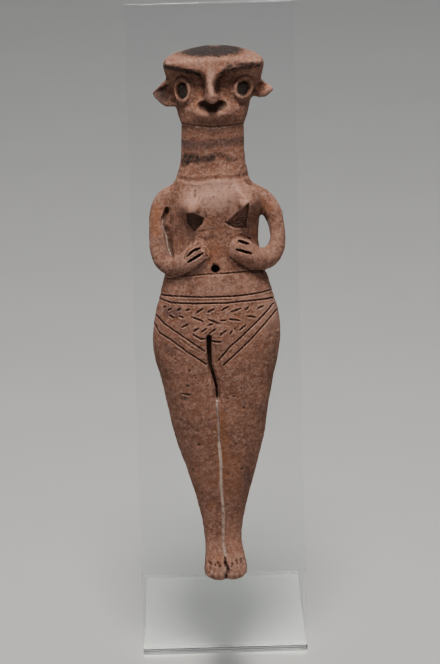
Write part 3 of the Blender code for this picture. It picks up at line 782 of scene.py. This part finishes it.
def along_line(layer, line, half_width, amount, taper=0.0):
    """Lays one layer along a line, fading at its sides."""
    close = near_line(line, half_width, at, forward_facing)
    share = 1 - ramp(reach_of(at[close], line, half_width, taper), 0.5, 1.15)
    layer[close] = np.maximum(layer[close], share * amount)


def patch(layer, x, up, half_x, half_up, amount, front=True):
    """Lays a soft round patch of one layer on the front or the back."""
    side = (facing[:, 1] if front else -facing[:, 1]) > PAINT_REACHES
    reach = np.hypot((at[:, 0] - x) / half_x, (at[:, 2] - up) / half_up)
    layer[:] = np.maximum(layer, np.where(side, (1 - ramp(reach, 0.35, 1.1)) * amount, 0))


# Painted shade and dirt: darker along the cut lines, in the finger and leg slits and in the pits.
for line in BELT_LINES + GROIN_LINES:
    along_line(dirt_and_shade, line, 0.28, 0.7)
for line in TOP_ROW + MIDDLE_ROW + LOW_ROW + SLIT_HOOKS:
    along_line(dirt_and_shade, line, 0.34, 0.7, taper=0.65)
for line in FINGER_SLITS:
    along_line(dirt_and_shade, line, 0.5, 1.0, taper=0.45)
for line in GOUGES:
    along_line(dirt_and_shade, line, 0.3, 0.6, taper=0.5)
along_line(dirt_and_shade, LEG_SLIT, (0.8, 0.4), 1.0)
along_line(dirt_and_shade, FEET_SPLIT, 0.4, 0.5)
for x, up in PITS + TOE_PITS:
    patch(dirt_and_shade, x, up, 0.45, 0.5, 0.32)
# Painted shade in the mouth hollow, the navel and the cupped left ear.
dirt_and_shade = np.maximum(dirt_and_shade, ramp(in_mouth(at), 0.0, 0.55) * 0.85)
patch(dirt_and_shade, *NAVEL, 1.9, 2.0, 1.0)
patch(dirt_and_shade, *LEFT_EAR, 3.4, 3.8, 0.72)

# The chalk holds best in the middle of the line; some lime lies loose on the feet and a thigh.
LIME_SPOTS = (
    (0.6, 4.6, 0.5), (0.3, 3.2, 0.4), (-1.8, 3.1, 0.45), (-4.4, 3.5, 0.45), (-2.2, 54.0, 0.9),
)

for stretch, amount in ((LEG_LINE[:4], 0.66), (LEG_LINE[3:8], 1.3), (LEG_LINE[7:], 0.66)):
    along_line(chalk_and_highlight, stretch, (0.6, 0.5), amount)
# Along the left arm's crease: a painted highlight on the arm's lit inner edge, partly lime crust, and
# painted shade in the crease beside it.
along_line(pale_and_highlight, [(x - 0.9, up) for x, up in ARM_CREASE[1:]], 0.5, 0.9, taper=0.5)
along_line(chalk_and_highlight, [(x - 0.6, up) for x, up in ARM_CREASE[1:]], 0.4, 0.6, taper=0.6)
along_line(soot_and_shade, ARM_CREASE, 0.9, 0.6, taper=0.5)
along_line(chalk_and_highlight, UNDER_CHIN, 0.5, 0.5)
for x, up, half in LIME_SPOTS:
    patch(chalk_and_highlight, x, up, half, half, 0.6)

# Pale bloom with painted highlight: brighter on the chest, brow, nose ridge, hands, waist, feet and a
# hip, where the light falls from above.
PALE_WEAR_AND_HIGHLIGHTS = (
    (0.0, 138.0, 14.0, 9.0, 0.8), (-5.0, 184.4, 10.0, 2.4, 0.2), (-0.2, 178.0, 2.4, 7.0, 0.5),
    (20.0, 121.0, 6.0, 9.0, 0.3), (-8.0, 114.0, 8.0, 6.0, 0.35), (0.0, 106.0, 20.0, 5.0, 0.3),
    (3.0, 3.0, 9.0, 8.0, 0.3), (18.0, 96.0, 7.0, 12.0, 0.45),
)

for worn in PALE_WEAR_AND_HIGHLIGHTS:
    patch(pale_and_highlight, *worn)
# A painted highlight on the lit inside of the right arm's gap.
patch(chalk_and_highlight, *INNER_ARM_HIGHLIGHT, 1.2, 3.0, 0.6)

# The dark paint: the crown with one bare spot, the brows, the pupils and the bands of the neck.
CROWN_MIDDLE = (0.4, 14.5)
CROWN_HALF = (12.5, 8.5)
CROWN_UP = (184.6, 186.6)
CROWN_STRENGTH = 1.3
BARE_SPOT = (1.6, 13.0)
BARE_SPOT_STRETCH = 2.2
LEFT_BROW = ((-17.4, 182.9), (-14.0, 182.3), (-10.5, 181.7), (-6.7, 180.8), (-3.7, 179.6))
RIGHT_BROW = ((3.4, 180.4), (6.4, 181.8), (10.2, 182.5), (14.0, 182.6), (16.8, 182.4))
PUPIL_REACH = 4.0
BROW_SMUDGES = ((5.6, 1.7), (7.9, 2.2), (9.1, 1.8), (11.6, 2.3), (14.1, 1.9))
SMUDGES_UP = 181.6
UPPER_BAND_UP, UPPER_BAND_HALF = 155.6, 1.8
BACK_BAND_UP, BACK_BAND_HALF = 150.2, 1.2
NECK_FROM, NECK_TO = 140.0, 162.0
NECK_AXIS = 11.0

crown_x, crown_forward = at[:, 0] - CROWN_MIDDLE[0], at[:, 1] - CROWN_MIDDLE[1]
crown_reach = np.hypot(crown_x / CROWN_HALF[0], crown_forward / CROWN_HALF[1])
crown = CROWN_STRENGTH * ramp(facing[:, 2], 0.35, 0.8) * ramp(at[:, 2], *CROWN_UP)
crown = crown * (1 - ramp(crown_reach, 0.55, 1.25))
spot_reach = np.hypot((at[:, 0] - BARE_SPOT[0]) / BARE_SPOT_STRETCH, at[:, 1] - BARE_SPOT[1])
paint = np.maximum(paint, crown * (1 - 0.9 * np.exp(-(spot_reach**2))))
along_line(paint, LEFT_BROW, 1.1, 0.8, taper=0.6)
along_line(paint, RIGHT_BROW, 1.5, 0.76, taper=0.5)
for x, length in BROW_SMUDGES:
    along_line(paint, ((x, SMUDGES_UP), (x + 0.5, SMUDGES_UP + 0.4 + length)), 0.6, 0.55, taper=0.6)
for eye in EYES:
    rows = into_eye(eye, at)
    rows[:, 1] += PELLET_DROP
    reach = np.hypot(rows[:, 0] / eye["slim"], rows[:, 1]) / (eye["tall"] * PELLET_SHARE)
    in_socket = np.abs(rows[:, 2]) < PUPIL_REACH
    pupil = (1 - ramp(reach, 0.92, 1.08)) * in_socket
    paint = np.maximum(paint, pupil * 1.5)
    # Painted shade in the gap between each ring and its pellet.
    gap = (1 - ramp(reach, 1.0, 1.32)) * in_socket * (reach > 0.98)
    dirt_and_shade = np.maximum(dirt_and_shade, gap * 0.8)
neck = (at[:, 2] > NECK_FROM) & (at[:, 2] < NECK_TO)
round_neck = np.arctan2(at[:, 0], at[:, 1] - NECK_AXIS)
wavering = at[:, 2] - UPPER_BAND_UP - 0.5 * np.sin(round_neck * 2)
upper_band = np.exp(-((wavering / UPPER_BAND_HALF) ** 4))
wavering = at[:, 2] - BACK_BAND_UP - 0.8 * np.sin(round_neck * 3)
back_band = np.exp(-((wavering / BACK_BAND_HALF) ** 4)) * (facing[:, 1] < PAINTED_ENOUGH) * 0.7
paint = np.maximum(paint, np.where(neck, np.maximum(upper_band * 0.32, back_band), 0))
soot_and_shade = np.maximum(soot_and_shade, np.where(neck, upper_band * 0.75, 0))
for line, half_width, amount in NECK_MARKS:
    along_line(paint, line, half_width, amount, taper=0.4)

# The stains: ochre from the soil, and soot from the fire mixed with painted shade under the breasts,
# under the chin and on the left ear; each by its x, up, half sizes and amount.
OCHRE_STAINS = (
    (-21.0, 129.0, 3.2, 8.0, 0.9), (19.0, 133.0, 5.0, 4.0, 0.5), (0.0, 48.0, 3.6, 22.0, 0.75),
    (5.0, 40.0, 4.5, 14.0, 0.45), (-9.0, 34.0, 3.0, 14.0, 0.35), (0.0, 117.0, 6.0, 7.0, 0.4),
    (-13.0, 175.0, 4.0, 6.0, 0.35), (-4.6, 172.0, 2.4, 5.0, 0.45), (9.0, 187.0, 4.0, 2.0, 0.5),
    (-1.0, 7.0, 4.0, 3.0, 0.5), (0.0, 144.0, 11.0, 1.2, 0.5), (17.8, 174.6, 4.0, 2.0, 0.5),
    (-7.6, 133.6, 3.4, 2.0, 0.6), (9.6, 134.6, 3.6, 2.2, 0.5), (9.0, 154.0, 3.0, 4.0, 0.6),
)
SOOT_AND_SHADE_PATCHES = (
    (-15.5, 97.0, 5.0, 3.0, 0.8), (-12.0, 93.0, 5.0, 3.0, 0.5), (-16.0, 84.0, 5.0, 3.0, 0.45),
    (-17.6, 123.2, 1.0, 1.2, 1.0), (9.0, 36.0, 2.6, 8.0, 0.6), (-17.5, 118.0, 3.0, 4.0, 0.4),
    (6.0, 92.0, 5.0, 3.0, 0.35), (-8.0, 128.6, 3.4, 3.6, 0.8), (9.6, 129.8, 3.0, 3.0, 0.6),
    (-18.8, 172.6, 4.4, 5.0, 1.3), (9.0, 183.4, 6.0, 2.0, 0.45), (-13.0, 184.0, 3.4, 2.4, 0.35),
    (0.0, 163.6, 9.0, 1.4, 0.5), (-17.0, 112.0, 5.0, 4.0, 0.35), (-20.0, 121.5, 3.0, 2.4, 0.5),
)
BACK_STAINS = ((6.0, 150.0, 9.0, 9.0, 0.5), (-8.0, 90.0, 9.0, 12.0, 0.45), (5.0, 40.0, 6.0, 14.0, 0.4))
BACK_OCHRE_ABOVE = 14.0

for stain in OCHRE_STAINS:
    patch(ochre, *stain)
for stain in SOOT_AND_SHADE_PATCHES:
    patch(soot_and_shade, *stain)
for x, up, half_x, half_up, amount in BACK_STAINS:
    patch(soot_and_shade, x, up, half_x, half_up, amount, front=False)
    patch(ochre, -x, up + BACK_OCHRE_ABOVE, half_x, half_up, amount, front=False)

layers = {
    "hollow": hollow,
    "dirt_and_shade": dirt_and_shade,
    "chalk_and_highlight": chalk_and_highlight,
    "paint": paint,
    "ochre": ochre,
    "soot_and_shade": soot_and_shade,
    "pale_and_highlight": pale_and_highlight,
}
for name, layer in layers.items():
    held = clay.data.attributes.new(name, "FLOAT", "POINT")
    held.data.foreach_set("value", np.clip(layer, -1, 2).astype(np.float32))

clay.data.transform(leaning)
pick(clay)
bpy.ops.object.shade_smooth()
clay.data.materials.clear()


# The clay's colour runs from dull mauve brown to pale pink, with grains of grit and lime in it.
DULL_CLAY = (0.140, 0.058, 0.036, 1.0)
PINK_CLAY = (0.280, 0.126, 0.083, 1.0)
PALE_CLAY_AND_HIGHLIGHT = (0.420, 0.242, 0.184, 1.0)
ORANGE_CLAY = (0.250, 0.088, 0.034, 1.0)
DARK_DIRT_AND_SHADE = (0.040, 0.022, 0.014, 1.0)
CHALK_AND_HIGHLIGHT = (0.570, 0.440, 0.375, 1.0)
DARK_PAINT = (0.012, 0.008, 0.007, 1.0)
SOOT_AND_SHADE = (0.092, 0.049, 0.045, 1.0)
PER_METRE = 1 / MM

# A mix node for colours has its sockets by number, as several of them share a name.
MIX_FACTOR, MIX_BELOW, MIX_ABOVE, MIX_RESULT = 0, 6, 7, 2

terracotta = bpy.data.materials.new("gritty_terracotta")
nodes, links, shader = shader_tree(terracotta)
shader.inputs["Specular IOR Level"].default_value = 0.3
place = nodes.new("ShaderNodeTexCoord").outputs["Object"]


def mottle(grain_mm, detail=6.0, roughness=0.6, stretch=None):
    """Noise whose patches are about this many millimetres across."""
    noise = nodes.new("ShaderNodeTexNoise")
    noise.inputs["Scale"].default_value = PER_METRE / grain_mm
    noise.inputs["Detail"].default_value = detail
    noise.inputs["Roughness"].default_value = roughness
    if stretch:
        mapping = nodes.new("ShaderNodeMapping")
        mapping.inputs["Scale"].default_value = stretch
        links.new(place, mapping.inputs["Vector"])
        links.new(mapping.outputs["Vector"], noise.inputs["Vector"])
    else:
        links.new(place, noise.inputs["Vector"])
    return noise.outputs["Fac"]


def grains(grain_mm):
    """Small cells: how far from each one's middle, and a shade for each."""
    cells = nodes.new("ShaderNodeTexVoronoi")
    cells.inputs["Scale"].default_value = PER_METRE / grain_mm
    links.new(place, cells.inputs["Vector"])
    return cells.outputs["Distance"], cells.outputs["Color"]


def spread(value, low, high, to_low=0.0, to_high=1.0):
    """The value spread from low and high to two new ends, and held between them."""
    node = nodes.new("ShaderNodeMapRange")
    for name, number in (("From Min", low), ("From Max", high), ("To Min", to_low), ("To Max", to_high)):
        node.inputs[name].default_value = number
    links.new(value, node.inputs["Value"])
    return node.outputs["Result"]


def worked(operation, first, second):
    """One sum of two values, either of which may be a plain number."""
    node = nodes.new("ShaderNodeMath")
    node.operation = operation
    for socket, value in zip(node.inputs, (first, second)):
        if isinstance(value, (int, float)):
            socket.default_value = value
        else:
            links.new(value, socket)
    return node.outputs["Value"]


def over(mask, below, above):
    """One colour laid over another where the mask is."""
    node = nodes.new("ShaderNodeMix")
    node.data_type = "RGBA"
    node.clamp_factor = True
    for number, value in ((MIX_FACTOR, mask), (MIX_BELOW, below), (MIX_ABOVE, above)):
        if isinstance(value, tuple):
            node.inputs[number].default_value = value
        else:
            links.new(value, node.inputs[number])
    return node.outputs[MIX_RESULT]


def layer_of(name):
    """One of the layers laid on the mesh above."""
    node = nodes.new("ShaderNodeAttribute")
    node.attribute_name = name
    return node.outputs["Fac"]


def ragged(layer, noise, amount, low, high):
    """A layer's mask with its edge broken up by noise."""
    break_up = worked("MULTIPLY", worked("SUBTRACT", noise, 0.5), amount)
    return spread(worked("ADD", layer, break_up), low, high)


broad = mottle(9.0, 7.0, 0.62)
close_up = mottle(1.6, 6.0, 0.7)
speckle = mottle(0.7, 5.0, 0.75)
blotch = mottle(4.0, 5.0, 0.6, (1.0, 1.0, 0.7))
colour = over(spread(broad, 0.38, 0.62), DULL_CLAY, PINK_CLAY)
reddish = mottle(2.6, 5.0, 0.65)
colour = over(spread(reddish, 0.5, 0.66, 0.0, 0.6), colour, ORANGE_CLAY)
colour = over(spread(close_up, 0.47, 0.64, 0.0, 0.85), colour, PALE_CLAY_AND_HIGHLIGHT)
colour = over(spread(speckle, 0.48, 0.6, 0.0, 0.92), colour, DULL_CLAY)
# Pale bloom and painted highlights on the chest, nose ridge and other lit fronts.
colour = over(ragged(layer_of("pale_and_highlight"), broad, 0.9, 0.1, 1.1), colour, PALE_CLAY_AND_HIGHLIGHT)
colour = over(ragged(layer_of("ochre"), blotch, 2.0, 0.2, 1.2), colour, ORANGE_CLAY)
# Soot stains, with painted shade under the breasts and chin, on the left ear and in the arm's crease.
soot_and_shade_mask = worked("MULTIPLY", ragged(layer_of("soot_and_shade"), blotch, 1.4, 0.25, 0.95), 0.8)
colour = over(soot_and_shade_mask, colour, SOOT_AND_SHADE)
# Painted highlight on every ridge, partly worn pale rims, and painted shade in every hollow, partly
# dirt.
colour = over(spread(layer_of("hollow"), -0.15, -0.9, 0.0, 0.55), colour, PALE_CLAY_AND_HIGHLIGHT)
colour = over(spread(layer_of("hollow"), 0.1, 0.8, 0.0, 0.7), colour, DARK_DIRT_AND_SHADE)
painted = worked("MULTIPLY", ragged(layer_of("paint"), close_up, 2.6, 0.15, 0.95), 0.97)
colour = over(painted, colour, DARK_PAINT)
# Dirt and painted shade in the cut lines, slits, pits, mouth, navel, left ear and eye gaps.
colour = over(worked("MULTIPLY", layer_of("dirt_and_shade"), 0.85), colour, DARK_DIRT_AND_SHADE)
# Chalky filling and lime, with painted highlights on the arms' lit inner edges.
colour = over(ragged(layer_of("chalk_and_highlight"), close_up, 1.5, 0.3, 0.85), colour, CHALK_AND_HIGHLIGHT)
grit_far, grit_shade = grains(0.7)
picked = nodes.new("ShaderNodeSeparateColor")
links.new(grit_shade, picked.inputs["Color"])
pale_grit = worked("MULTIPLY", spread(grit_far, 0.32, 0.12), spread(picked.outputs["Red"], 0.88, 0.94))
dark_grit = worked("MULTIPLY", spread(grit_far, 0.34, 0.1), spread(picked.outputs["Green"], 0.8, 0.86))
colour = over(worked("MULTIPLY", pale_grit, 0.45), colour, CHALK_AND_HIGHLIGHT)
colour = over(worked("MULTIPLY", dark_grit, 0.5), colour, DARK_DIRT_AND_SHADE)
links.new(colour, shader.inputs["Base Color"])
links.new(spread(close_up, 0.35, 0.7, 0.72, 0.95), shader.inputs["Roughness"])

relief = worked("ADD", worked("MULTIPLY", close_up, 0.55), worked("MULTIPLY", speckle, 0.3))
relief = worked("SUBTRACT", relief, worked("MULTIPLY", dark_grit, 0.35))
relief = worked("ADD", relief, worked("MULTIPLY", pale_grit, 0.15))
bump = nodes.new("ShaderNodeBump")
bump.inputs["Strength"].default_value = 1.0
bump.inputs["Distance"].default_value = 0.9 * MM
links.new(relief, bump.inputs["Height"])
links.new(bump.outputs["Normal"], shader.inputs["Normal"])
clay.data.materials.append(terracotta)

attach(clay, "root")
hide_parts("female_figurine")


# A plain pale floor, one small soft light almost overhead, a broad one high above it, and weak
# ones in front and behind. Each light gives where it stands round the figure, how far off, how
# wide and how strong it is, and its colour.
FLOOR_SIZE = 6.0
FLOOR_GAP = 0.1 * MM
PAPER = (0.46, 0.46, 0.45, 1.0)
PALER_PAPER = (0.49, 0.49, 0.48, 1.0)
ROOM_STRENGTH = 0.16
bpy.ops.mesh.primitive_plane_add(size=FLOOR_SIZE, location=(0, 0, -FLOOR_GAP))
floor = bpy.context.object
floor.name = "pale_floor"
paper = bpy.data.materials.new("pale_paper")
nodes, links, shader = shader_tree(paper)
place = nodes.new("ShaderNodeTexCoord").outputs["Object"]
links.new(over(mottle(60.0, 2.0), PAPER, PALER_PAPER), shader.inputs["Base Color"])
shader.inputs["Roughness"].default_value = 0.85
floor.data.materials.append(paper)

world = bpy.context.scene.world or bpy.data.worlds.new("soft_room")
bpy.context.scene.world = world
world.use_nodes = True
background = world.node_tree.nodes["Background"]
background.inputs["Color"].default_value = (0.9, 0.93, 1.0, 1.0)
background.inputs["Strength"].default_value = ROOM_STRENGTH

FIGURE_MIDDLE = Vector((0, front_line_y, 0.125))
for name, azimuth, elevation, distance, size, power, tint in (
    ("key", 2.0, 79.0, 0.55, 0.16, 4.0, (1.0, 0.95, 0.89)),
    ("fill", -30.0, 22.0, 1.4, 0.8, 0.8, (0.95, 0.97, 1.0)),
    ("back", 168.0, 62.0, 1.2, 0.6, 2.0, (0.97, 0.98, 1.0)),
    ("room", 0.0, 88.0, 2.5, 4.0, 38.0, (1.0, 0.99, 0.97)),
):
    turn, rise = math.radians(azimuth), math.radians(elevation)
    level = math.cos(rise)
    direction = Vector((math.sin(turn) * level, -math.cos(turn) * level, math.sin(rise)))
    bpy.ops.object.light_add(type="AREA", location=FIGURE_MIDDLE + direction * distance)
    light = bpy.context.object
    light.name = name + "_light"
    light.data.size = size
    light.data.energy = power
    light.data.color = tint
    light.rotation_euler = (-direction).to_track_quat("-Z", "Y").to_euler()


# The camera looks a little down at the figure from the front, a touch off level.
IMAGE_HEIGHT = 664
FOCAL_PIXELS = 2439.0
SENSOR = 36.0
CAMERA_PITCH = math.radians(19.99)
CAMERA_YAW = math.radians(0.57)
CAMERA_ROLL = math.radians(-1.37)
CAMERA_DISTANCE = 0.855
CAMERA_TARGET = Vector((0.7 * MM, front_line_y, 128.3 * MM))

ahead = Vector(
    (
        math.sin(CAMERA_YAW) * math.cos(CAMERA_PITCH),
        math.cos(CAMERA_YAW) * math.cos(CAMERA_PITCH),
        -math.sin(CAMERA_PITCH),
    )
)
right = Vector((math.cos(CAMERA_YAW), -math.sin(CAMERA_YAW), 0))
upward = right.cross(ahead)
turned_right = right * math.cos(CAMERA_ROLL) + upward * math.sin(CAMERA_ROLL)
turned_up = upward * math.cos(CAMERA_ROLL) - right * math.sin(CAMERA_ROLL)
camera_data = bpy.data.cameras.new("front_camera")
camera_data.sensor_fit = "VERTICAL"
camera_data.sensor_height = SENSOR
camera_data.lens = SENSOR * FOCAL_PIXELS / IMAGE_HEIGHT
camera = bpy.data.objects.new("front_camera", camera_data)
bpy.context.scene.collection.objects.link(camera)
turned = Matrix((turned_right, turned_up, -ahead)).transposed().to_4x4()
camera.matrix_world = Matrix.Translation(CAMERA_TARGET - ahead * CAMERA_DISTANCE) @ turned
bpy.context.scene.camera = camera
